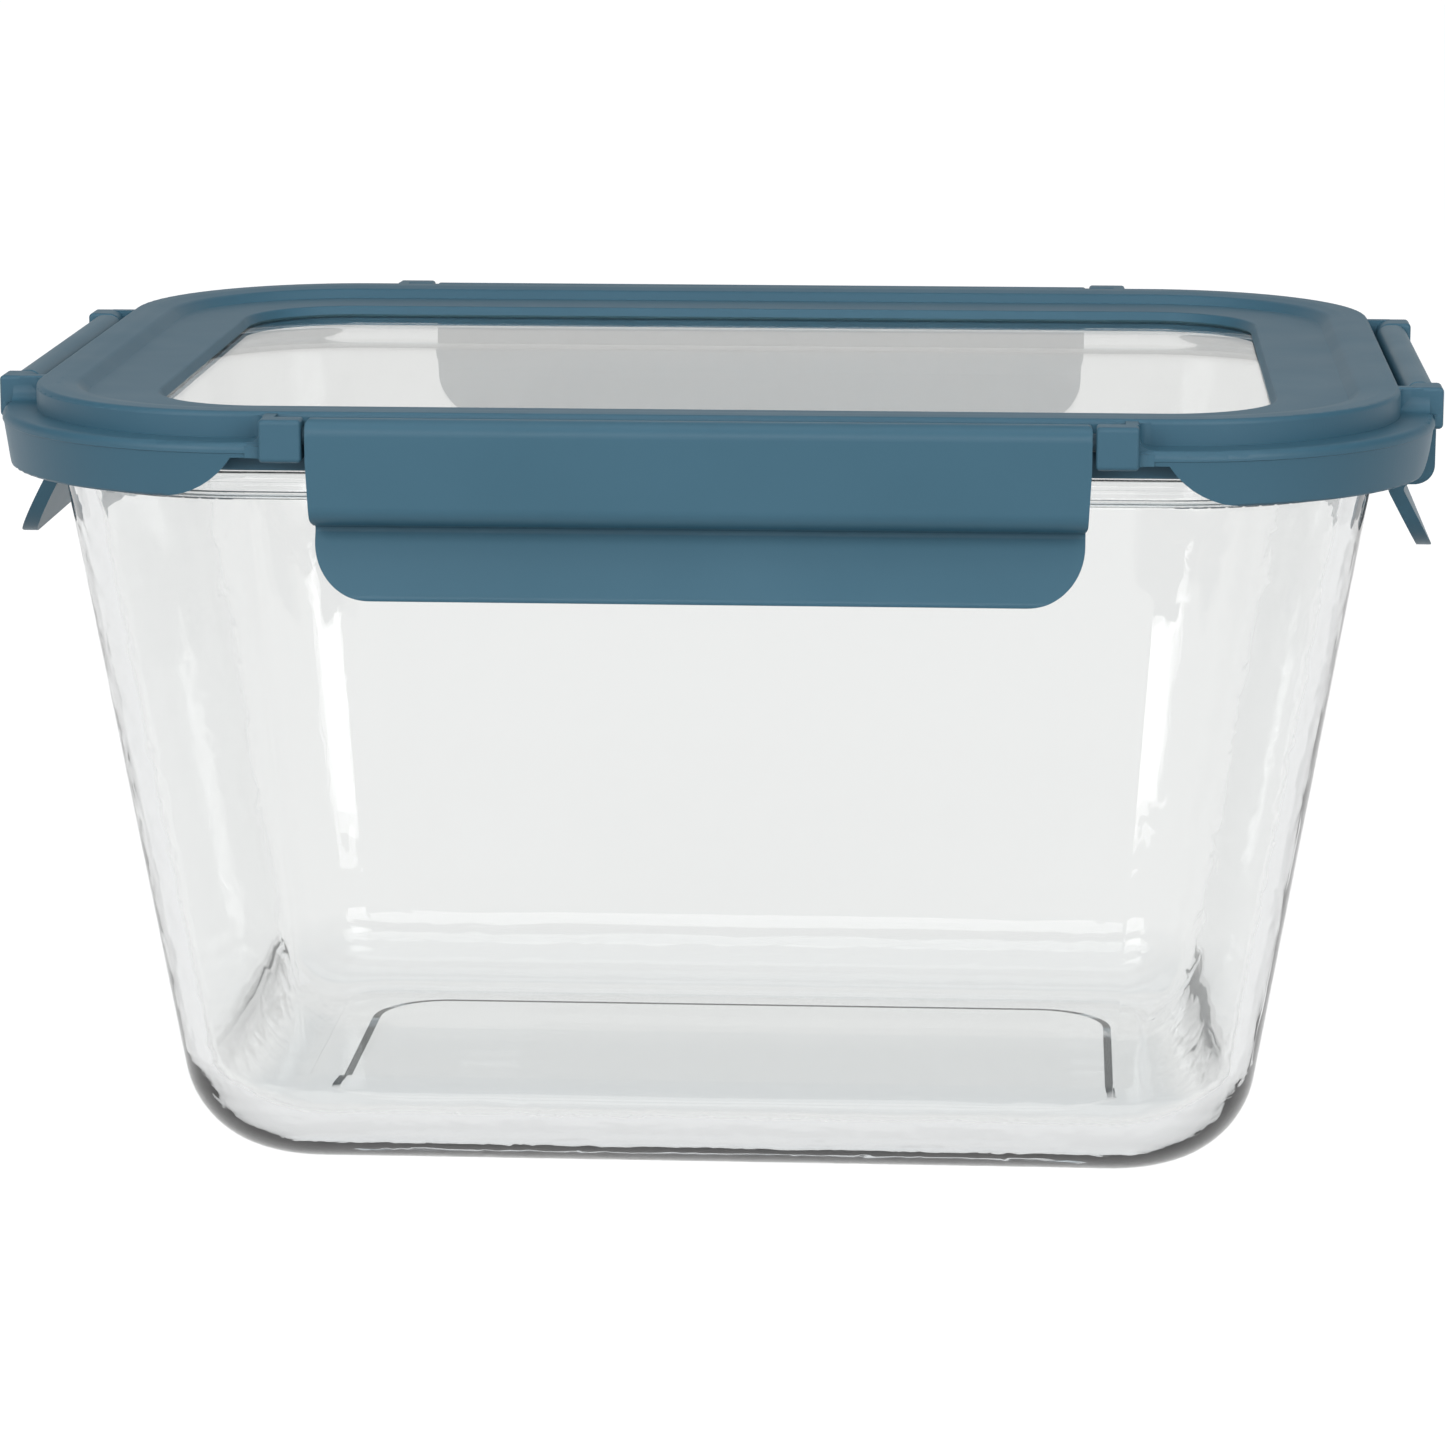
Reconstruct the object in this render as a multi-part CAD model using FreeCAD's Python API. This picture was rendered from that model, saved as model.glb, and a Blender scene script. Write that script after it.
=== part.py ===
"""Rectangular glass food container with a framed window lid and four hinged side latches.

Row frame: millimetres, X along the long side, Y along the depth, Z up, origin at the centre of the base.
Lid shapes are drawn as sections of (inset, drop): inset is the distance inward from the outer face of the
hinge ears, and drop is the distance down from the top of the lid's raised rim. Every lid contour is
concentric, so a section turned round the four corner axes makes a whole ring.
"""
import FreeCAD, Part
import math
import os
from FreeCAD import Vector

# Driving dimensions
LENGTH = 250.0           # over the hinge ears on the short sides
DEPTH = 194.0            # over the hinge ears on the long sides
HEIGHT = 138.6           # base to the top of the lid's raised rim
CORNER_RADIUS = 48.4     # plan radius at inset 0
CORNER_X = LENGTH / 2 - CORNER_RADIUS
CORNER_Y = DEPTH / 2 - CORNER_RADIUS

# Lid frame
RIM_WALL = 7.6           # inset of the raised rim's outer wall
RIM_FLAT_END = 11.6      # inset of the inner edge of the rim's flat top
RIM_INNER = 14.6         # inset where the rim's top starts to curve down to the shelf
RIM_INNER_DROP = 0.38
RIM_CROWN_ROUND = 10.0
RIM_CREST_ROUND = 1.6    # rounding where the rim's top turns down to the shelf
SHELF_START = 16.4       # inset of the shelf's outer edge
SHELF_DROP = 2.0         # the flat shelf inside the rim
WINDOW_EDGE = 28.6       # inset of the shelf's inner edge, where the bevel round the window begins
BEVEL_RUN = 0.9
BEVEL_DROP = 3.6         # lower edge of the bevel
LEDGE_DROP = 4.4         # the step outside the rim wall
LEDGE_THICK = 2.0
SKIRT_FACE = 1.7         # inset of the corner skirts' outer face at the ledge
SKIRT_TAPER = 1.3        # how far the face draws in towards its lower edge
SKIRT_WALL = 1.8
SKIRT_EDGE = 1.5         # thickness of the skirts at their lower edge
SKIRT_DROP = 13.8        # lower edge of the corner skirts
SKIRT_START_DROP = 6.9   # lower edge of the skirt beside the ears
SKIRT_SWEEP_RADIUS = 15.0
SKIRT_SWEEP_START = 5.0  # from the ear to the start of the sweep
LIP_HEIGHT = 1.7         # height of the ledge's rounded lip, which stands proud of the skirts
LIP_PROUD = 0.2
LIP_ROUND = 1.3
FRAME_WALL_DROP = 9.9    # lower edge of the outer wall of the seal channel
RIM_SKIN = 1.8           # thickness of the rim's outer wall
RIM_HOLLOW_START = 9.8   # inset of the outer side of the hollow inside the raised rim
RIM_HOLLOW_END = 13.4
PLUG_OUTER = 17.0        # inset of the wall that plugs into the glass mouth
PLUG_WALL = 1.6
PLUG_DROP = 9.3
RIM_HOLLOW_DROP = 2.0    # roof of the hollow inside the raised rim
CHANNEL_DROP = 4.2       # roof of the seal channel
SEAL_GAP = 0.3           # the seal is drawn just clear of the glass that it presses on
SEAL_THICK = 1.7
SEAL_SIDE_GAP = 0.1      # between the seal and each wall of its channel
SEAL_BEAD_MIDDLE = 13.6  # inset of the soft bead over the glass lip
SEAL_BEAD_HALF = 1.4
SEAL_BEAD_DRAFT = 0.4

# Small rounds shared by many edges
TINY_ROUND = 0.05
FINE_ROUND = 0.3
EDGE_ROUND = 0.5
SOFT_ROUND = 0.9

# Room that cutters run past a face, and the depth that joined pieces sink into each other
CLEAR = 5.0
SINK = 0.3
NEARLY = 0.01            # tolerance when edges are picked by their size

# Hinge ears and latches
EAR_TOP_DROP = 0.3
EAR_BOTTOM_DROP = 7.5
EAR_LENGTH = 7.0
EAR_ROOT = 2.2           # length of the part of an ear that joins the rim wall
EAR_BACK = 6.2           # inset of the back of the ear's finger
EAR_END_ROUND = 0.6
EAR_ROUND = 0.8          # rounding of the ears' outer edges
EAR_WEB = 2.0            # concave fillet between an ear's outer side and the rim wall
EAR_FOOT = 2.5           # concave fillet between an ear's outer side and the ledge
EAR_FOOT_INSET = 0.7     # how far behind the skirt's face that fillet stops
EAR_FLARE = 1.1          # depth of the flare from an ear's front into the skirt
EAR_BACK_ROUND = 2.4     # rounding of the finger's upper back edge, round the pin
AXIS_INSET = 3.6
AXIS_DROP = 3.35
PIN_RADIUS = 1.5
PIN_CLEARANCE = 0.08
PIN_REACH = 3.5
PIN_CHAMFER = 0.4
SOCKET_DEPTH = 3.3
LATCH_END_GAP = 0.6
LATCH_HALF_LONG = 64.6   # half length of the front and rear latches
LATCH_HALF_SHORT = 39.1  # half length of the left and right latches
BARREL_RADIUS = 2.95
LATCH_FACE = AXIS_INSET - BARREL_RADIUS
LATCH_WALL = 2.4
FLAP_TIP = 0.1           # inset of the finger flap's outer lower edge
FLAP_DROP = 30.4
FLAP_ANGLE = 28.0        # the finger flap's slope from the vertical
FLAP_WALL = 2.5
FLAP_END_DRAFT = 0.2     # how much the flap's end face leans from square
FLAP_CORNER = 9.6
FLAP_INSET = 0.9         # how much shorter the flap is than the latch at each end
END_BEND_ROUND = 4.0     # rounding of each end where it starts to draw in
END_STEP_ROUND = 2.0
END_TAPER = 0.5          # how much each end draws in from below the ears to the step
HOOK_TIP = 8.4           # inset of the hook's inner face, just clear of the glass bead
HOOK_TOP_DROP = 14.6
HOOK_THICK = 2.4
STEP_ROUND = 3.5         # rounding of the lower front edge of the latch's upper part
STEP_DROP = 18.4         # underside of the upper part of the latch

# Window
PANE_INSET = 19.8
PANE_DROP = 3.9
PANE_THICK = 3.0
GASKET_OUTER = 18.7
GASKET_INNER = 29.0
RETAINER_INNER = 21.5
RETAINER_THICK = 1.2

# Glass container
GLASS_TOP_DROP = 7.2
BEAD_FACE = 8.7          # inset of the locking bead
BEAD_TOP_DROP = 10.5
BEAD_BOTTOM_DROP = 14.5
BEAD_SEAM_DROP = 12.0    # mould parting line on the bead, a small step
SEAM_STEP = 0.08
BEAD_TOP_ROUND = 1.2
BEAD_BOTTOM_ROUND = 1.5
COLLAR_BODY_DROP = 16.1  # where the collar's section has sunk into the body, outside and inside
COLLAR_END_DROP = 17.5
LIP_TOP_ROUND = 1.6
NECK_OUTER = 10.7        # inset of the lip above the bead
MOUTH_INSET = 16.5
BODY_INSET = 11.9        # inset of the body's outer face right under the bead
BODY_TAPER = 0.1638      # inward run of the wall per unit of height
BODY_CORNER_TOP = 36.6
BODY_CORNER_BASE = 24.0
BASE_ROUND = 18.0
WALL_THICK = 4.7
FLOOR_THICK = 6.0
CAVITY_ROUND = 15.0
FOOT_WIDTH = 4.0
FOOT_CORNER = 14.0
FOOT_RECESS = 0.4
FOOT_SLOPE = 1.5         # width of the slope up to the recessed middle of the base


def rounded_wire(corners):
    """Closed wire through 3-D corners given as (Vector, radius), each eased with an arc of its radius."""
    count = len(corners)
    joints = []
    for i, (point, radius) in enumerate(corners):
        before = (corners[i - 1][0] - point).normalize()
        after = (corners[(i + 1) % count][0] - point).normalize()
        if radius <= 0:
            joints.append((point, None, point))
            continue
        half = before.getAngle(after) / 2
        reach = radius / math.tan(half)
        middle = (before + after).normalize() * (radius / math.sin(half) - radius)
        joints.append((point + before * reach, point + middle, point + after * reach))
    edges = []
    for i, (enter, middle, leave) in enumerate(joints):
        if middle is not None:
            edges.append(Part.Arc(enter, middle, leave).toShape())
        following = joints[(i + 1) % count][0]
        if (following - leave).Length > 1e-6:
            edges.append(Part.LineSegment(leave, following).toShape())
    return Part.Wire(edges)


def section_face(points, across, along):
    """Face of an (inset, drop, radius) section. across(inset) gives the plan point, along shifts it."""
    corners = []
    for inset, drop, radius in points:
        plan = across(inset)
        corners.append((Vector(plan[0], plan[1], HEIGHT - drop) + along, radius))
    return Part.Face(rounded_wire(corners))


def x_side(inset):
    return (LENGTH / 2 - inset, 0.0)


def y_side(inset):
    return (0.0, DEPTH / 2 - inset)


def ring(points):
    """Solid ring round the lid with the given section."""
    up = Vector(0, 0, 1)
    side = section_face(points, x_side, Vector(0, -CORNER_Y, 0)).extrude(Vector(0, 2 * CORNER_Y, 0))
    front = section_face(points, y_side, Vector(-CORNER_X, 0, 0)).extrude(Vector(2 * CORNER_X, 0, 0))
    seat = section_face(points, x_side, Vector(0, CORNER_Y, 0))
    corner = seat.revolve(Vector(CORNER_X, CORNER_Y, 0), up, 90)
    pieces = [side, front, corner]
    pieces.append(corner.mirror(Vector(), Vector(1, 0, 0)))
    pieces += [piece.mirror(Vector(), Vector(0, 1, 0)) for piece in pieces[1:4]]
    pieces.append(side.mirror(Vector(), Vector(1, 0, 0)))
    return fused(pieces)


def fused(solids):
    """One clean solid from solids that touch or overlap."""
    whole = solids[0].multiFuse(solids[1:]).removeSplitter()
    return whole.Solids[0] if len(whole.Solids) == 1 else whole


def box(low, high):
    size = Vector(*high) - Vector(*low)
    return Part.makeBox(size.x, size.y, size.z, Vector(*low))


def rounded_rectangle(half_x, half_y, radius, z):
    corners = [(Vector(half_x, half_y, z), radius), (Vector(-half_x, half_y, z), radius),
               (Vector(-half_x, -half_y, z), radius), (Vector(half_x, -half_y, z), radius)]
    return rounded_wire(corners)


def plate(inset, top_drop, bottom_drop):
    """Solid slab with the lid's concentric outline."""
    low = HEIGHT - bottom_drop
    wire = rounded_rectangle(LENGTH / 2 - inset, DEPTH / 2 - inset, CORNER_RADIUS - inset, low)
    return Part.Face(wire).extrude(Vector(0, 0, bottom_drop - top_drop))


def side_places():
    """The four latch sides as (name, half latch length, turn about Z, distance from centre to inset 0)."""
    return [("front", LATCH_HALF_LONG, 0, DEPTH / 2), ("right", LATCH_HALF_SHORT, 90, LENGTH / 2),
            ("rear", LATCH_HALF_LONG, 180, DEPTH / 2), ("left", LATCH_HALF_SHORT, 270, LENGTH / 2)]


def placed(shape, turn):
    """A shape drawn for the front side, turned about Z to its own side."""
    moved = shape.copy()
    moved.rotate(Vector(), Vector(0, 0, 1), turn)
    return moved


def side_face(points, reach, start):
    """Section for a side-built piece, in the plane X = start, with Y outward to -reach at inset 0."""
    corners = [(Vector(start, -(reach - inset), HEIGHT - drop), radius) for inset, drop, radius in points]
    return Part.Face(rounded_wire(corners))


# ---- glass container -------------------------------------------------------------------------------

def tapered_block(inset_at_bead, corner_at_bead, corner_at_base, low, high, edge_round):
    """Solid with planar tapered walls and tapered corner radii, its lower edge rounded."""
    bead_level = HEIGHT - BEAD_BOTTOM_DROP

    def outline(z):
        share = (bead_level - z) / bead_level
        inset = inset_at_bead + BODY_TAPER * (bead_level - z)
        radius = corner_at_bead + (corner_at_base - corner_at_bead) * share
        return rounded_rectangle(LENGTH / 2 - inset, DEPTH / 2 - inset, radius, z)

    block = Part.makeLoft([outline(low), outline(high)], True, True)
    lower = [edge for edge in block.Edges if edge.BoundBox.ZMax < low + NEARLY]
    return block.makeFillet(edge_round, lower)


def glass_container():
    top = HEIGHT - GLASS_TOP_DROP
    bead_level = HEIGHT - BEAD_BOTTOM_DROP
    body = tapered_block(BODY_INSET, BODY_CORNER_TOP, BODY_CORNER_BASE, 0.0, bead_level + 1.0, BASE_ROUND)
    seam_face = BEAD_FACE + SEAM_STEP
    collar = ring([(NECK_OUTER, GLASS_TOP_DROP, LIP_TOP_ROUND),
                   (MOUTH_INSET, GLASS_TOP_DROP, LIP_TOP_ROUND), (MOUTH_INSET, COLLAR_END_DROP, 0),
                   (BODY_INSET + SINK, COLLAR_BODY_DROP, 0),
                   (BODY_INSET, BEAD_BOTTOM_DROP + SINK, BEAD_TOP_ROUND),
                   (BEAD_FACE, BEAD_BOTTOM_DROP, BEAD_BOTTOM_ROUND),
                   (BEAD_FACE, BEAD_SEAM_DROP, SEAM_STEP / 2), (seam_face, BEAD_SEAM_DROP, SEAM_STEP / 3),
                   (seam_face, BEAD_TOP_DROP, BEAD_TOP_ROUND), (NECK_OUTER, BEAD_TOP_DROP, EDGE_ROUND)])
    cavity = tapered_block(BODY_INSET + WALL_THICK, BODY_CORNER_TOP - WALL_THICK,
                           BODY_CORNER_BASE - WALL_THICK, FLOOR_THICK, bead_level, CAVITY_ROUND)
    mouth = plate(MOUTH_INSET, GLASS_TOP_DROP - CLEAR, BEAD_BOTTOM_DROP)
    foot_x = LENGTH / 2 - BODY_INSET - BODY_TAPER * bead_level - BASE_ROUND - FOOT_WIDTH
    foot_y = foot_x - (LENGTH - DEPTH) / 2
    grow = FOOT_SLOPE / FOOT_RECESS
    outlines = [rounded_rectangle(foot_x - grow * z, foot_y - grow * z, FOOT_CORNER - z * grow, z)
                for z in (-FOOT_RECESS, FOOT_RECESS)]
    recess = Part.makeLoft(outlines, True, True)
    shell = fused([body, collar])
    return shell.cut(cavity).cut(mouth).cut(recess).removeSplitter()


# ---- lid -------------------------------------------------------------------------------------------

def skirt_cutter(half_latch, reach):
    """Clears the skirt in front of one latch, with a swept lower edge at each end."""
    start = half_latch + LATCH_END_GAP + EAR_LENGTH + SKIRT_SWEEP_START
    fall = SKIRT_DROP - SKIRT_START_DROP
    run = math.sqrt(SKIRT_SWEEP_RADIUS ** 2 - (SKIRT_SWEEP_RADIUS - fall) ** 2)
    below = SKIRT_DROP + CLEAR
    mid_run = run / 2
    mid_fall = fall - (SKIRT_SWEEP_RADIUS - math.sqrt(SKIRT_SWEEP_RADIUS ** 2 - (run - mid_run) ** 2))

    def point(x, drop):
        return Vector(x, -reach - CLEAR, HEIGHT - drop)

    edges = []
    for sign in (-1, 1):
        edges.append(Part.Arc(point(sign * start, SKIRT_START_DROP),
                              point(sign * (start + mid_run), SKIRT_START_DROP + mid_fall),
                              point(sign * (start + run), SKIRT_DROP)).toShape())
        edges.append(Part.LineSegment(point(sign * (start + run), SKIRT_DROP),
                                      point(sign * (start + run), below)).toShape())
    for across, drop in ((start, SKIRT_START_DROP), (start + run, below)):
        edges.append(Part.LineSegment(point(-across, drop), point(across, drop)).toShape())
    outline = Part.Wire(Part.__sortEdges__(edges))
    return Part.Face(outline).extrude(Vector(0, CLEAR + RIM_WALL - SINK, 0))


def bay_cutter(half_latch, reach):
    """Clears ledge and skirt between a latch's two ears."""
    half = half_latch + LATCH_END_GAP
    low = (-half, -reach - CLEAR, HEIGHT - SKIRT_DROP - CLEAR)
    return box(low, (half, -(reach - RIM_WALL), HEIGHT + CLEAR))


def concave_web(corner, across, along, run):
    """Filler in the corner of two walls: a curve that leaves each wall smoothly, swept by run.

    across and along lead from the corner down each wall to the ends of the curve.
    """
    inside = corner - (across + along).normalize() * SINK
    ends = [corner + across, corner + along]
    curve = Part.BezierCurve()
    curve.setPoles([ends[0], corner, ends[1]])
    tips = [ends[0] + (inside - corner), ends[1] + (inside - corner)]
    rest = Part.makePolygon([ends[1], tips[1], inside, tips[0], ends[0]])
    return Part.Face(Part.Wire([curve.toShape()] + rest.Edges)).extrude(run)


def ear_webs(side, reach):
    """The concave fillets that ease an ear's outer side into the rim wall, the ledge and the skirt."""
    rim, face = -(reach - RIM_WALL), -(reach - SKIRT_FACE)
    ledge, top = HEIGHT - LEDGE_DROP, HEIGHT - EAR_TOP_DROP
    low = HEIGHT - SKIRT_START_DROP
    upright = concave_web(Vector(side, rim, ledge - SINK), Vector(EAR_WEB, 0, 0), Vector(0, -EAR_WEB, 0),
                          Vector(0, 0, top - ledge))
    foot = concave_web(Vector(side, rim + SINK, ledge), Vector(EAR_FOOT, 0, 0), Vector(0, 0, EAR_FOOT),
                       Vector(0, face - rim + EAR_FOOT_INSET - SINK, 0))
    flare = concave_web(Vector(side, face, low), Vector(EAR_FOOT, 0, 0), Vector(0, -EAR_FLARE, 0),
                        Vector(0, 0, ledge - low - EDGE_ROUND))
    return [upright, foot, flare]


def ear_pair(half_latch, reach):
    """The two hinge ears of one side, each an L-shaped arm with a blind socket for the latch's pin."""
    inner = half_latch + LATCH_END_GAP
    outer = inner + EAR_LENGTH
    low, high = EAR_BOTTOM_DROP, EAR_TOP_DROP
    finger = side_face([(0, high, EAR_ROUND), (0, low, EAR_ROUND), (EAR_BACK, low, EAR_ROUND),
                        (EAR_BACK, high, EAR_BACK_ROUND)], reach, inner).extrude(Vector(EAR_LENGTH, 0, 0))
    ends = [edge for edge in finger.Edges if edge.BoundBox.XLength < NEARLY]
    finger = finger.makeFillet(EAR_END_ROUND, ends)
    join = RIM_WALL + SINK
    root = side_face([(AXIS_INSET, high, 0), (AXIS_INSET, low, 0), (join, low, 0), (join, high, 0)],
                     reach, outer - EAR_ROOT).extrude(Vector(EAR_ROOT, 0, 0))
    sides = [edge for edge in root.Edges
             if edge.BoundBox.XMin > outer - NEARLY and edge.BoundBox.YLength > join - AXIS_INSET - NEARLY]
    root = root.makeFillet(FINE_ROUND, sides)
    webs = ear_webs(outer, reach)
    start = inner - SINK
    slot = box((start, -(reach - EAR_BACK - NEARLY), HEIGHT - SKIRT_DROP),
               (outer - EAR_ROOT, -(reach - RIM_WALL), HEIGHT + CLEAR))
    socket = Part.makeCylinder(PIN_RADIUS + PIN_CLEARANCE, SOCKET_DEPTH + SINK,
                               Vector(start, -(reach - AXIS_INSET), HEIGHT - AXIS_DROP), Vector(1, 0, 0))
    arms = [finger, root] + webs
    arms += [arm.mirror(Vector(), Vector(1, 0, 0)) for arm in arms]
    cuts = [slot, socket, slot.mirror(Vector(), Vector(1, 0, 0)), socket.mirror(Vector(), Vector(1, 0, 0))]
    return arms, cuts


def lid_frame():
    plug_inner, channel_wall = PLUG_OUTER + PLUG_WALL, RIM_WALL + RIM_SKIN
    rim = ring([(RIM_WALL, 0, SOFT_ROUND), (RIM_FLAT_END, 0, RIM_CROWN_ROUND),
                (RIM_INNER, RIM_INNER_DROP, RIM_CREST_ROUND),
                (SHELF_START, SHELF_DROP, FINE_ROUND), (WINDOW_EDGE, SHELF_DROP, EDGE_ROUND),
                (WINDOW_EDGE + BEVEL_RUN, BEVEL_DROP, TINY_ROUND), (plug_inner, BEVEL_DROP, FINE_ROUND),
                (plug_inner, PLUG_DROP, EDGE_ROUND), (PLUG_OUTER, PLUG_DROP, EDGE_ROUND),
                (PLUG_OUTER, CHANNEL_DROP, 0), (RIM_HOLLOW_END, CHANNEL_DROP, FINE_ROUND),
                (RIM_HOLLOW_END, RIM_HOLLOW_DROP, FINE_ROUND),
                (RIM_HOLLOW_START, RIM_HOLLOW_DROP, FINE_ROUND),
                (RIM_HOLLOW_START, CHANNEL_DROP, FINE_ROUND), (channel_wall, CHANNEL_DROP, 0),
                (channel_wall, FRAME_WALL_DROP, EDGE_ROUND), (RIM_WALL, FRAME_WALL_DROP, EDGE_ROUND)])
    skirt_root, skirt_foot = RIM_WALL + RIM_SKIN / 2, SKIRT_FACE + SKIRT_TAPER
    skirt = ring([(skirt_root, LEDGE_DROP, 0), (SKIRT_FACE, LEDGE_DROP, LIP_ROUND),
                  (SKIRT_FACE, LEDGE_DROP + LIP_HEIGHT, TINY_ROUND),
                  (SKIRT_FACE + LIP_PROUD, LEDGE_DROP + LIP_HEIGHT + LIP_PROUD / 2, TINY_ROUND),
                  (skirt_foot, SKIRT_DROP, EDGE_ROUND), (skirt_foot + SKIRT_EDGE, SKIRT_DROP, EDGE_ROUND),
                  (SKIRT_FACE + SKIRT_WALL, LEDGE_DROP + LEDGE_THICK, FINE_ROUND),
                  (skirt_root, LEDGE_DROP + LEDGE_THICK, 0)])
    arms, cuts = [], []
    for name, half, turn, reach in side_places():
        for cutter in (skirt_cutter(half, reach), bay_cutter(half, reach)):
            skirt = skirt.cut(placed(cutter, turn))
        side_arms, side_cuts = ear_pair(half, reach)
        arms += [placed(arm, turn) for arm in side_arms]
        cuts += [placed(cut, turn) for cut in side_cuts]
    frame = fused([rim, skirt] + arms)
    for cut in cuts:
        frame = frame.cut(cut)
    return frame.removeSplitter()


def lid_seal():
    """Silicone seal: a flat body in the channel's roof with a soft bead over the glass lip."""
    outer, inner = RIM_WALL + RIM_SKIN + SEAL_SIDE_GAP, PLUG_OUTER - SEAL_SIDE_GAP
    flat, lip = CHANNEL_DROP + SEAL_THICK, GLASS_TOP_DROP - SEAL_GAP
    near, far = SEAL_BEAD_MIDDLE - SEAL_BEAD_HALF, SEAL_BEAD_MIDDLE + SEAL_BEAD_HALF
    return ring([(outer, CHANNEL_DROP, 0), (inner, CHANNEL_DROP, 0), (inner, flat, FINE_ROUND),
                 (far + SEAL_BEAD_DRAFT, flat, FINE_ROUND), (far, lip, EDGE_ROUND), (near, lip, EDGE_ROUND),
                 (near - SEAL_BEAD_DRAFT, flat, FINE_ROUND), (outer, flat, FINE_ROUND)])


def window_pane():
    slab = plate(PANE_INSET, PANE_DROP, PANE_DROP + PANE_THICK)
    return slab.makeFillet(FINE_ROUND, [edge for edge in slab.Edges if edge.BoundBox.ZLength < NEARLY])


def window_gasket():
    """L-section silicone ring between the pane's rim and the frame."""
    bottom = PANE_DROP + PANE_THICK
    return ring([(GASKET_OUTER, BEVEL_DROP, 0), (GASKET_INNER, BEVEL_DROP, TINY_ROUND),
                 (GASKET_INNER, PANE_DROP, TINY_ROUND), (PANE_INSET, PANE_DROP, 0),
                 (PANE_INSET, bottom, 0), (GASKET_OUTER, bottom, 0)])


def pane_retainer():
    """Ring welded inside the plug wall; it carries the gasket and pane."""
    outer, top = PLUG_OUTER + PLUG_WALL, PANE_DROP + PANE_THICK
    bottom = top + RETAINER_THICK
    return ring([(outer, top, 0), (RETAINER_INNER, top, FINE_ROUND),
                 (RETAINER_INNER - FINE_ROUND, bottom, FINE_ROUND), (outer, bottom, 0)])


# ---- latches ---------------------------------------------------------------------------------------

def latch_section():
    """The latch's section as (inset, drop, radius): barrel, plate, J-shaped hook and sloping flap."""
    slope = math.radians(FLAP_ANGLE)
    rise = FLAP_DROP - STEP_DROP
    root_inset = FLAP_TIP + rise * math.tan(slope)
    thick_x, thick_z = FLAP_WALL * math.cos(slope), FLAP_WALL * math.sin(slope)
    inner_tip = (FLAP_TIP + thick_x, FLAP_DROP + thick_z - FLAP_END_DRAFT)
    inner_root_drop = inner_tip[1] - (HOOK_TIP - inner_tip[0]) / math.tan(slope)
    plate_back = LATCH_FACE + LATCH_WALL
    barrel_back, barrel_top = AXIS_INSET + BARREL_RADIUS, AXIS_DROP - BARREL_RADIUS
    barrel_round = BARREL_RADIUS - FINE_ROUND
    hook_back, hook_root = HOOK_TIP - HOOK_THICK, STEP_DROP - HOOK_THICK
    return [(LATCH_FACE, barrel_top, barrel_round), (LATCH_FACE, STEP_DROP, STEP_ROUND),
            (root_inset, STEP_DROP, SOFT_ROUND), (FLAP_TIP, FLAP_DROP, SOFT_ROUND),
            (*inner_tip, SOFT_ROUND), (HOOK_TIP, inner_root_drop, SOFT_ROUND),
            (HOOK_TIP, HOOK_TOP_DROP, SOFT_ROUND), (hook_back, HOOK_TOP_DROP, SOFT_ROUND),
            (hook_back, hook_root, SOFT_ROUND), (plate_back, hook_root, SOFT_ROUND),
            (plate_back, AXIS_DROP + BARREL_RADIUS, SOFT_ROUND),
            (barrel_back, AXIS_DROP + BARREL_RADIUS / 2, SOFT_ROUND),
            (barrel_back, barrel_top, barrel_round)]


def latch_outline(half):
    """Front elevation of a latch: ends that draw in below the ears, then a flap with round corners."""
    flap = half - FLAP_INSET
    low = HEIGHT - FLAP_DROP - TINY_ROUND
    step = HEIGHT - STEP_DROP
    top = HEIGHT - AXIS_DROP + BARREL_RADIUS
    corners = []
    for sign in (1, -1):
        side = [(Vector(sign * half, 0, top), SOFT_ROUND),
                (Vector(sign * half, 0, HEIGHT - EAR_BOTTOM_DROP), END_BEND_ROUND),
                (Vector(sign * (half - END_TAPER), 0, step + 1.0), END_STEP_ROUND),
                (Vector(sign * flap, 0, step + FINE_ROUND), FINE_ROUND),
                (Vector(sign * flap, 0, low), FLAP_CORNER)]
        corners += side if sign > 0 else side[::-1]
    return Part.Face(rounded_wire(corners))


def latch(half, reach):
    body = side_face(latch_section(), reach, -half).extrude(Vector(2 * half, 0, 0))
    outline = latch_outline(half)
    outline.translate(Vector(0, -reach - CLEAR, 0))
    body = body.common(outline.extrude(Vector(0, HOOK_TIP + 2 * CLEAR, 0)))
    pins = []
    for sign in (1, -1):
        start = Vector(sign * (half - 1.0), -(reach - AXIS_INSET), HEIGHT - AXIS_DROP)
        pin = Part.makeCylinder(PIN_RADIUS, PIN_REACH + 1.0, start, Vector(sign, 0, 0))
        tip = [edge for edge in pin.Edges if abs(edge.BoundBox.XMin - sign * (half + PIN_REACH)) < NEARLY
               and edge.BoundBox.XLength < NEARLY]
        pins.append(pin.makeChamfer(PIN_CHAMFER, tip))
    return fused([body] + pins)


def export(name, shape):
    print(f"{name}: {len(shape.Solids)} solid(s), valid {shape.isValid()}, {shape.Volume / 1000:.3f} cm3")
    print("   ", shape.BoundBox)
    shape.exportStep(os.path.join("parts", name + ".step"))


def main():
    os.makedirs("parts", exist_ok=True)
    export("glass_container", glass_container())
    export("lid_frame", lid_frame())
    export("lid_seal", lid_seal())
    export("window_pane", window_pane())
    export("window_gasket", window_gasket())
    export("pane_retainer", pane_retainer())
    for name, half, turn, reach in side_places():
        export("latch_" + name, placed(latch(half, reach), turn))


main()
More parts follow.
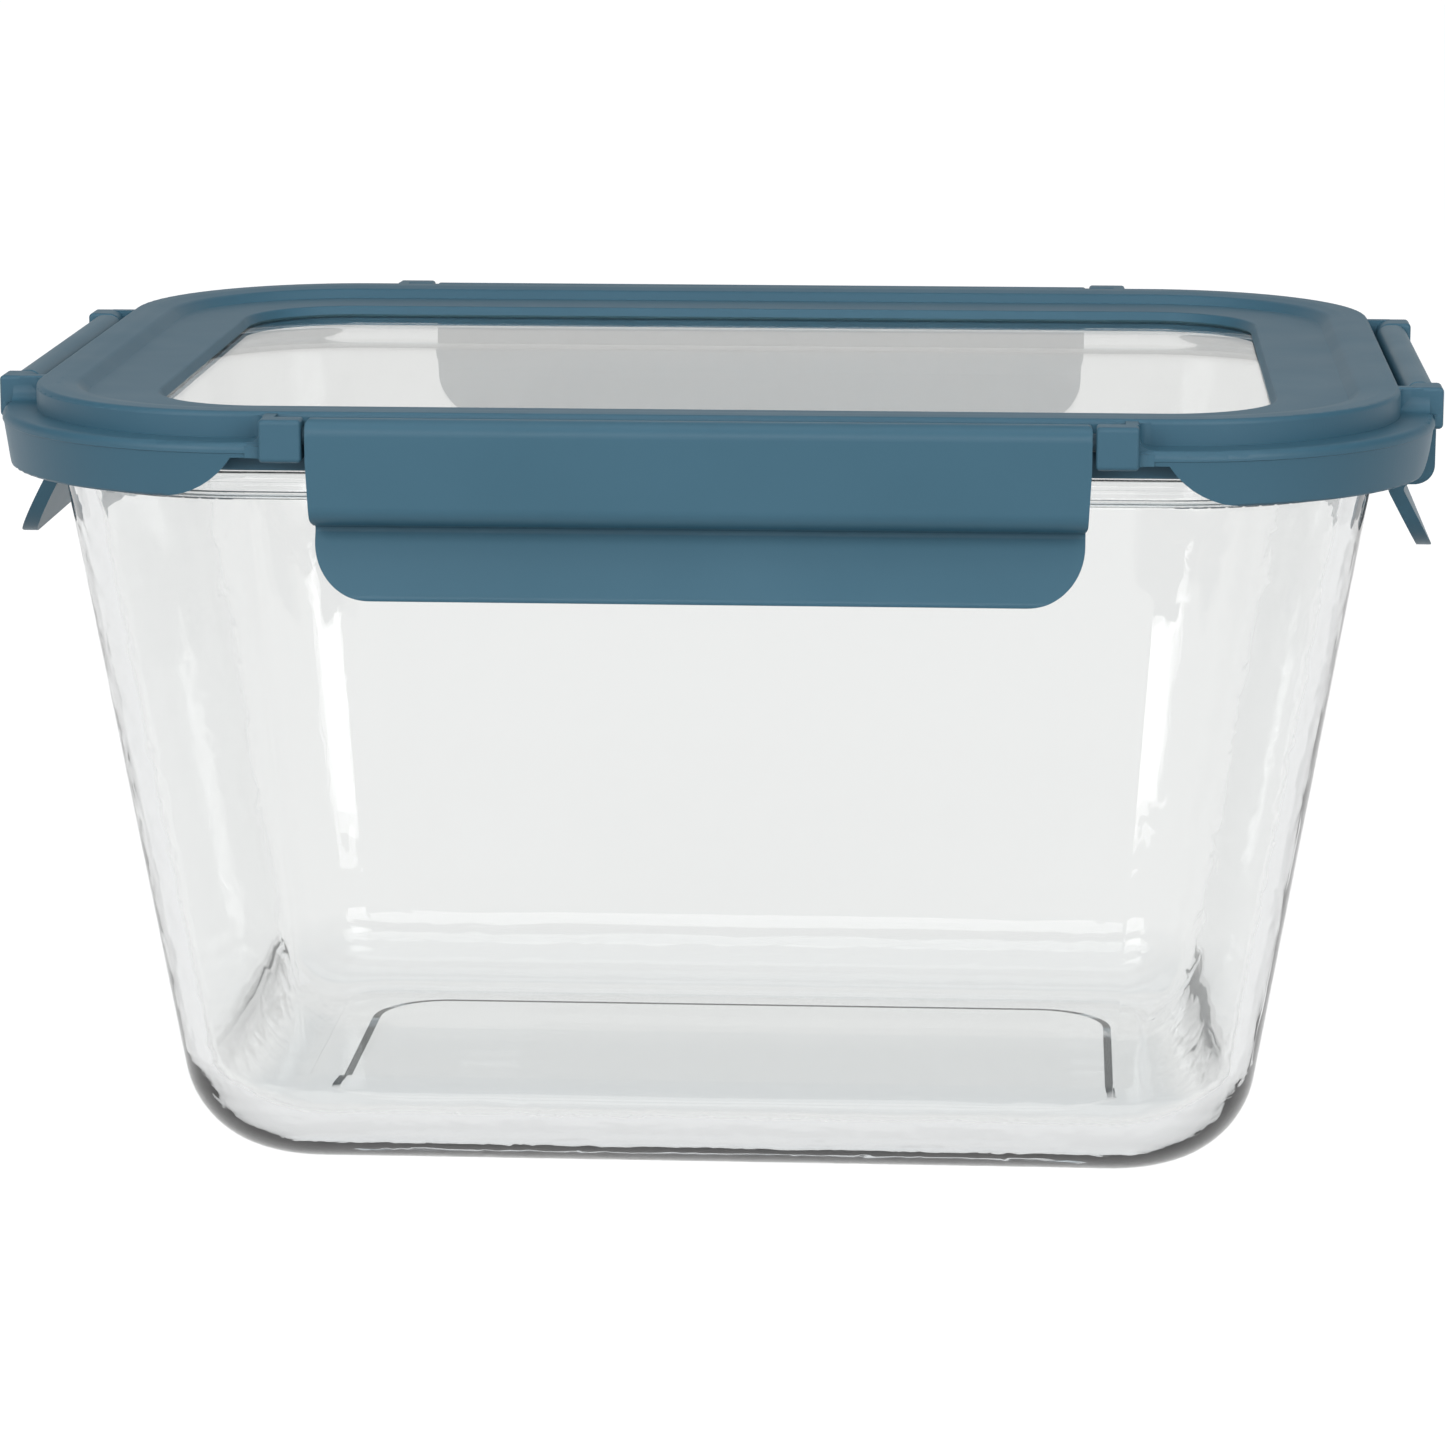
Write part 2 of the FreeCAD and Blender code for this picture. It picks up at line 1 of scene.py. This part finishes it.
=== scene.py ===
"""Glass storage container with a latched window lid: looks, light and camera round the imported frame."""
import math
import bpy
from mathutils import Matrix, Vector


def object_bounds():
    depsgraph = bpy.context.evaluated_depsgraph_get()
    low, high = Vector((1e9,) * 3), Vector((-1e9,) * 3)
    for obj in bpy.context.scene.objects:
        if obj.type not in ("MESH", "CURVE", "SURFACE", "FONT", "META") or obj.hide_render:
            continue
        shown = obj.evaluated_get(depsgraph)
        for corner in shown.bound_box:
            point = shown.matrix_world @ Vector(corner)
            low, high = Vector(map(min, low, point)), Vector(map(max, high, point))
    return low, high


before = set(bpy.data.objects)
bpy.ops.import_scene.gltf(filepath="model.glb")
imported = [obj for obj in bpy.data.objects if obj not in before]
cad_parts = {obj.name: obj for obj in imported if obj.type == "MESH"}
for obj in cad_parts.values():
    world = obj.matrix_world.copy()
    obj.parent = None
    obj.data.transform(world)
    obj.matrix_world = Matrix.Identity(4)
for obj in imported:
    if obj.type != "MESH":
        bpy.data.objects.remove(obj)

cad_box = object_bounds()
low_corner, high_corner = cad_box
HEIGHT = high_corner.z


# ---- materials ----------------------------------------------------------------------------------

# Noise scales are in features per metre, and depths in metres.

# Each pair of tones is the darkest and lightest colour of one material.
FRAME_TONES = ((0.042, 0.124, 0.183), (0.048, 0.135, 0.197))
LATCH_TONES = ((0.042, 0.127, 0.186), (0.048, 0.138, 0.201))
GASKET_TONES = ((0.050, 0.150, 0.195), (0.058, 0.165, 0.210))
SEAL_TONES = ((0.60, 0.64, 0.65), (0.68, 0.72, 0.72))
TONE_PLACES = (0.3, 0.7)  # where along the noise each tone is reached

# Plastic
CLOUD_SCALE, CLOUD_DETAIL = 26.0, 3.0
PATCH_SCALE = 55.0
PATCH_SPREAD = (-0.05, 0.06)      # how far handled patches shift the roughness
GRAIN_SCALE, GRAIN_ROUGHNESS, GRAIN_DEPTH = 2600.0, 0.6, 0.00006
PLASTIC_IOR = 1.46
PLASTIC_SPECULAR = 0.45

# Glass
RIPPLE_SCALE, RIPPLE_DETAIL, RIPPLE_DEPTH = 22.0, 1.0, 0.0008
GLASS_IOR = 1.51
LAMP_TINT = (0.93, 0.945, 0.945)  # what is left of a lamp's light behind one face

# Silicone
DRIFT_SCALE, DRIFT_DETAIL = 40.0, 3.0
DUST_SCALE, DUST_DETAIL = 900.0, 3.0
DUST_SPREAD = 0.06
SKIN_SHARE, SKIN_DEPTH = 0.2, 0.001  # light carried under the skin


def new_material(name):
    material = bpy.data.materials.new(name)
    material.use_nodes = True
    tree = material.node_tree
    return material, tree.nodes, tree.links, tree.nodes["Principled BSDF"]


def noise(nodes, links, scale, detail=2.0, roughness=0.5):
    """Noise fixed to the piece, with scale in features per metre."""
    coords = nodes.new("ShaderNodeTexCoord")
    texture = nodes.new("ShaderNodeTexNoise")
    texture.inputs["Scale"].default_value = scale
    texture.inputs["Detail"].default_value = detail
    texture.inputs["Roughness"].default_value = roughness
    links.new(coords.outputs["Object"], texture.inputs["Vector"])
    return texture.outputs["Fac"]


def two_tones(nodes, links, factor, tones):
    """Colour that drifts between two tones."""
    node = nodes.new("ShaderNodeValToRGB")
    for element, place, tone in zip(node.color_ramp.elements, TONE_PLACES, tones):
        element.position = place
        element.color = (*tone, 1.0)
    links.new(factor, node.inputs["Fac"])
    return node.outputs["Color"]


def between(nodes, links, factor, low, high):
    """Number that drifts between low and high."""
    node = nodes.new("ShaderNodeMapRange")
    node.inputs["To Min"].default_value = low
    node.inputs["To Max"].default_value = high
    links.new(factor, node.inputs["Value"])
    return node.outputs["Result"]


def bumped(nodes, links, height, strength, distance):
    node = nodes.new("ShaderNodeBump")
    node.inputs["Strength"].default_value = strength
    node.inputs["Distance"].default_value = distance
    links.new(height, node.inputs["Height"])
    return node.outputs["Normal"]


def moulded_plastic(name, tones, roughness, grain):
    """Satin polypropylene: slightly cloudy colour, handled patches and a fine spark-eroded grain."""
    material, nodes, links, shader = new_material(name)
    clouds = noise(nodes, links, CLOUD_SCALE, CLOUD_DETAIL)
    links.new(two_tones(nodes, links, clouds, tones), shader.inputs["Base Color"])
    low, high = (roughness + shift for shift in PATCH_SPREAD)
    patches = noise(nodes, links, PATCH_SCALE)
    links.new(between(nodes, links, patches, low, high), shader.inputs["Roughness"])
    pits = noise(nodes, links, GRAIN_SCALE, roughness=GRAIN_ROUGHNESS)
    links.new(bumped(nodes, links, pits, grain, GRAIN_DEPTH), shader.inputs["Normal"])
    shader.inputs["IOR"].default_value = PLASTIC_IOR
    shader.inputs["Specular IOR Level"].default_value = PLASTIC_SPECULAR
    return material


def clear_glass(name, tint, ripple, kept, density):
    """Clear glass with a faint pressed ripple, darker the further light goes inside it.

    Lamps shine through it, so the inside stays bright.
    """
    material, nodes, links, shader = new_material(name)
    waves = noise(nodes, links, RIPPLE_SCALE, RIPPLE_DETAIL)
    links.new(bumped(nodes, links, waves, ripple, RIPPLE_DEPTH), shader.inputs["Normal"])
    shader.inputs["Roughness"].default_value = 0.0
    shader.inputs["Base Color"].default_value = (*tint, 1.0)
    shader.inputs["Transmission Weight"].default_value = 1.0
    shader.inputs["IOR"].default_value = GLASS_IOR
    path = nodes.new("ShaderNodeLightPath")
    clear = nodes.new("ShaderNodeBsdfTransparent")
    clear.inputs["Color"].default_value = (*LAMP_TINT, 1.0)
    mix = nodes.new("ShaderNodeMixShader")
    links.new(path.outputs["Is Shadow Ray"], mix.inputs["Fac"])
    links.new(shader.outputs["BSDF"], mix.inputs[1])
    links.new(clear.outputs["BSDF"], mix.inputs[2])
    links.new(mix.outputs["Shader"], nodes["Material Output"].inputs["Surface"])
    depth = nodes.new("ShaderNodeVolumeAbsorption")
    depth.inputs["Color"].default_value = (*kept, 1.0)
    depth.inputs["Density"].default_value = density
    links.new(depth.outputs["Volume"], nodes["Material Output"].inputs["Volume"])
    return material


def silicone(name, tones, roughness):
    """Soft silicone: dusty sheen and a little light carried under its skin."""
    material, nodes, links, shader = new_material(name)
    drift = noise(nodes, links, DRIFT_SCALE, DRIFT_DETAIL)
    links.new(two_tones(nodes, links, drift, tones), shader.inputs["Base Color"])
    dust = noise(nodes, links, DUST_SCALE, DUST_DETAIL)
    worn = between(nodes, links, dust, roughness - DUST_SPREAD, roughness + DUST_SPREAD)
    links.new(worn, shader.inputs["Roughness"])
    shader.inputs["Subsurface Weight"].default_value = SKIN_SHARE
    shader.inputs["Subsurface Radius"].default_value = (1.0, 1.0, 1.0)
    shader.inputs["Subsurface Scale"].default_value = SKIN_DEPTH
    return material


def make_materials():
    frame_blue = moulded_plastic("frame_plastic", FRAME_TONES, roughness=0.46, grain=0.25)
    looks = {
        "glass_container": clear_glass("container_glass", tint=(1.0, 1.0, 0.992), ripple=0.001,
                                       kept=(0.0, 0.06, 0.10), density=17.0),
        "window_pane": clear_glass("pane_glass", tint=(0.95, 0.96, 0.957), ripple=0.002,
                                   kept=(0.0, 0.06, 0.08), density=5.0),
        "lid_frame": frame_blue,
        "pane_retainer": frame_blue,
        "window_gasket": silicone("gasket_silicone", GASKET_TONES, roughness=0.45),
        "lid_seal": silicone("seal_silicone", SEAL_TONES, roughness=0.5),
    }
    latch_blue = moulded_plastic("latch_plastic", LATCH_TONES, roughness=0.42, grain=0.20)
    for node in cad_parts:
        looks.setdefault(node, latch_blue)
    return looks


def dress_nodes(looks):
    for name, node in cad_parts.items():
        for slot in node.material_slots:
            slot.material = looks[name]


# ---- stage, light and camera --------------------------------------------------------------------

FLOOR_RADIUS = 7.0
FLOOR_GAP = 0.0002        # keeps the floor just below the glass base
FLOOR_GLOW = 0.97         # brightness that the camera sees
FLOOR_THROUGH = 0.90      # brightness seen through the glass
FLOOR_FILL = 0.15         # light that the floor sheds on matt surfaces
FLOOR_TONE = 0.15         # dark grey under that glow, so the lamps add little
FLOOR_ROUGHNESS = 0.9
FLOOR_SPECULAR = 0.1
FLOOR_SIDES = 96


def make_floor():
    """Plain pale floor that glows a little, as a lit table does."""
    bpy.ops.mesh.primitive_circle_add(vertices=FLOOR_SIDES, radius=FLOOR_RADIUS, fill_type="NGON",
                                      location=(0, 0, low_corner.z - FLOOR_GAP))
    floor = bpy.context.object
    floor.name = "floor"
    material, nodes, links, shader = new_material("floor_white")
    shader.inputs["Base Color"].default_value = (FLOOR_TONE, FLOOR_TONE, FLOOR_TONE, 1.0)
    shader.inputs["Roughness"].default_value = FLOOR_ROUGHNESS
    shader.inputs["Specular IOR Level"].default_value = FLOOR_SPECULAR
    shader.inputs["Emission Color"].default_value = (1.0, 1.0, 1.0, 1.0)
    path = nodes.new("ShaderNodeLightPath")
    glow = between(nodes, links, path.outputs["Transmission Depth"], FLOOR_GLOW, FLOOR_THROUGH)
    strength = between(nodes, links, path.outputs["Diffuse Depth"], FLOOR_GLOW, FLOOR_FILL)
    links.new(glow, strength.node.inputs["To Min"])
    links.new(strength, shader.inputs["Emission Strength"])
    floor.data.materials.append(material)


ROOM_TONE = (0.16, 0.165, 0.17)
BACKDROP_TONE = (0.74, 0.74, 0.73)
GLASS_BACKDROP_TONE = (0.86, 0.86, 0.85)  # backdrop and room, for rays that went through glass
GLASS_ROOM_TONE = (0.16, 0.25, 0.30)
PALE_TONE = (0.95, 0.95, 0.95)            # what the camera itself sees
BACKDROP_FADE = (0.16, 0.42)              # from backdrop to room, as the sine of the elevation


def make_world():
    """Dim room with a bright low backdrop all round.

    The camera itself sees it as pale, and matt surfaces get no light from the backdrop.
    """
    world = bpy.data.worlds.new("studio")
    bpy.context.scene.world = world
    world.use_nodes = True
    nodes, links = world.node_tree.nodes, world.node_tree.links

    def blended(factor, first, second):
        node = nodes.new("ShaderNodeMix")
        node.data_type = "RGBA"
        links.new(factor, node.inputs["Factor"])
        for value, socket in ((first, node.inputs["A"]), (second, node.inputs["B"])):
            if isinstance(value, tuple):
                socket.default_value = (*value, 1.0)
            else:
                links.new(value, socket)
        return node.outputs["Result"]

    def ranged(value, start, end):
        node = nodes.new("ShaderNodeMapRange")
        node.interpolation_type = "SMOOTHSTEP"
        node.inputs["From Min"].default_value = start
        node.inputs["From Max"].default_value = end
        links.new(value, node.inputs["Value"])
        return node.outputs["Result"]

    direction = nodes.new("ShaderNodeSeparateXYZ")
    links.new(nodes.new("ShaderNodeTexCoord").outputs["Generated"], direction.inputs["Vector"])
    height = ranged(direction.outputs["Z"], *BACKDROP_FADE)
    path = nodes.new("ShaderNodeLightPath")
    rising = blended(path.outputs["Transmission Depth"], blended(height, BACKDROP_TONE, ROOM_TONE),
                     blended(height, GLASS_BACKDROP_TONE, GLASS_ROOM_TONE))
    lit = blended(path.outputs["Diffuse Depth"], rising, ROOM_TONE)
    seen = blended(path.outputs["Is Camera Ray"], lit, PALE_TONE)
    links.new(seen, nodes["Background"].inputs["Color"])


def softbox(name, place, size, power):
    """Rectangular area light aimed at the middle of the object."""
    light = bpy.data.lights.new(name, "AREA")
    light.shape = "RECTANGLE"
    light.size, light.size_y = size
    light.energy = power
    lamp = bpy.data.objects.new(name, light)
    bpy.context.collection.objects.link(lamp)
    lamp.location = place
    aim = Vector((0, 0, HEIGHT / 2)) - Vector(place)
    lamp.rotation_euler = aim.to_track_quat("-Z", "Y").to_euler()


def make_lights():
    softbox("overhead", (0.0, -0.2, 1.5), (1.6, 1.2), 6.0)
    softbox("front", (0.1, -1.9, 0.9), (1.4, 0.6), 8.0)
    softbox("front_left", (-0.80, -1.15, 0.75), (0.6, 1.1), 8.0)
    softbox("front_right", (0.85, -1.15, 0.75), (0.6, 1.1), 8.0)
    softbox("rear", (0.0, 1.5, 1.0), (1.8, 0.5), 1.6)


CAMERA_PLACE = (0.0569, -0.9445, 0.2633)
CAMERA_YAW = 0.0620       # turned left of +Y, in radians
CAMERA_PITCH = 0.2029     # below the horizon, in radians
CAMERA_LENS = 130.8       # millimetres
SENSOR_WIDTH = 36.0       # millimetres
NEAREST, FURTHEST = 0.01, 50.0


def make_camera():
    data = bpy.data.cameras.new("camera")
    data.lens = CAMERA_LENS
    data.sensor_width = SENSOR_WIDTH
    data.clip_start, data.clip_end = NEAREST, FURTHEST
    camera = bpy.data.objects.new("camera", data)
    bpy.context.collection.objects.link(camera)
    camera.location = CAMERA_PLACE
    camera.rotation_euler = (math.pi / 2 - CAMERA_PITCH, 0.0, CAMERA_YAW)
    bpy.context.scene.camera = camera


dress_nodes(make_materials())
make_floor()
make_world()
make_lights()
make_camera()
bpy.context.scene.view_settings.view_transform = "Standard"
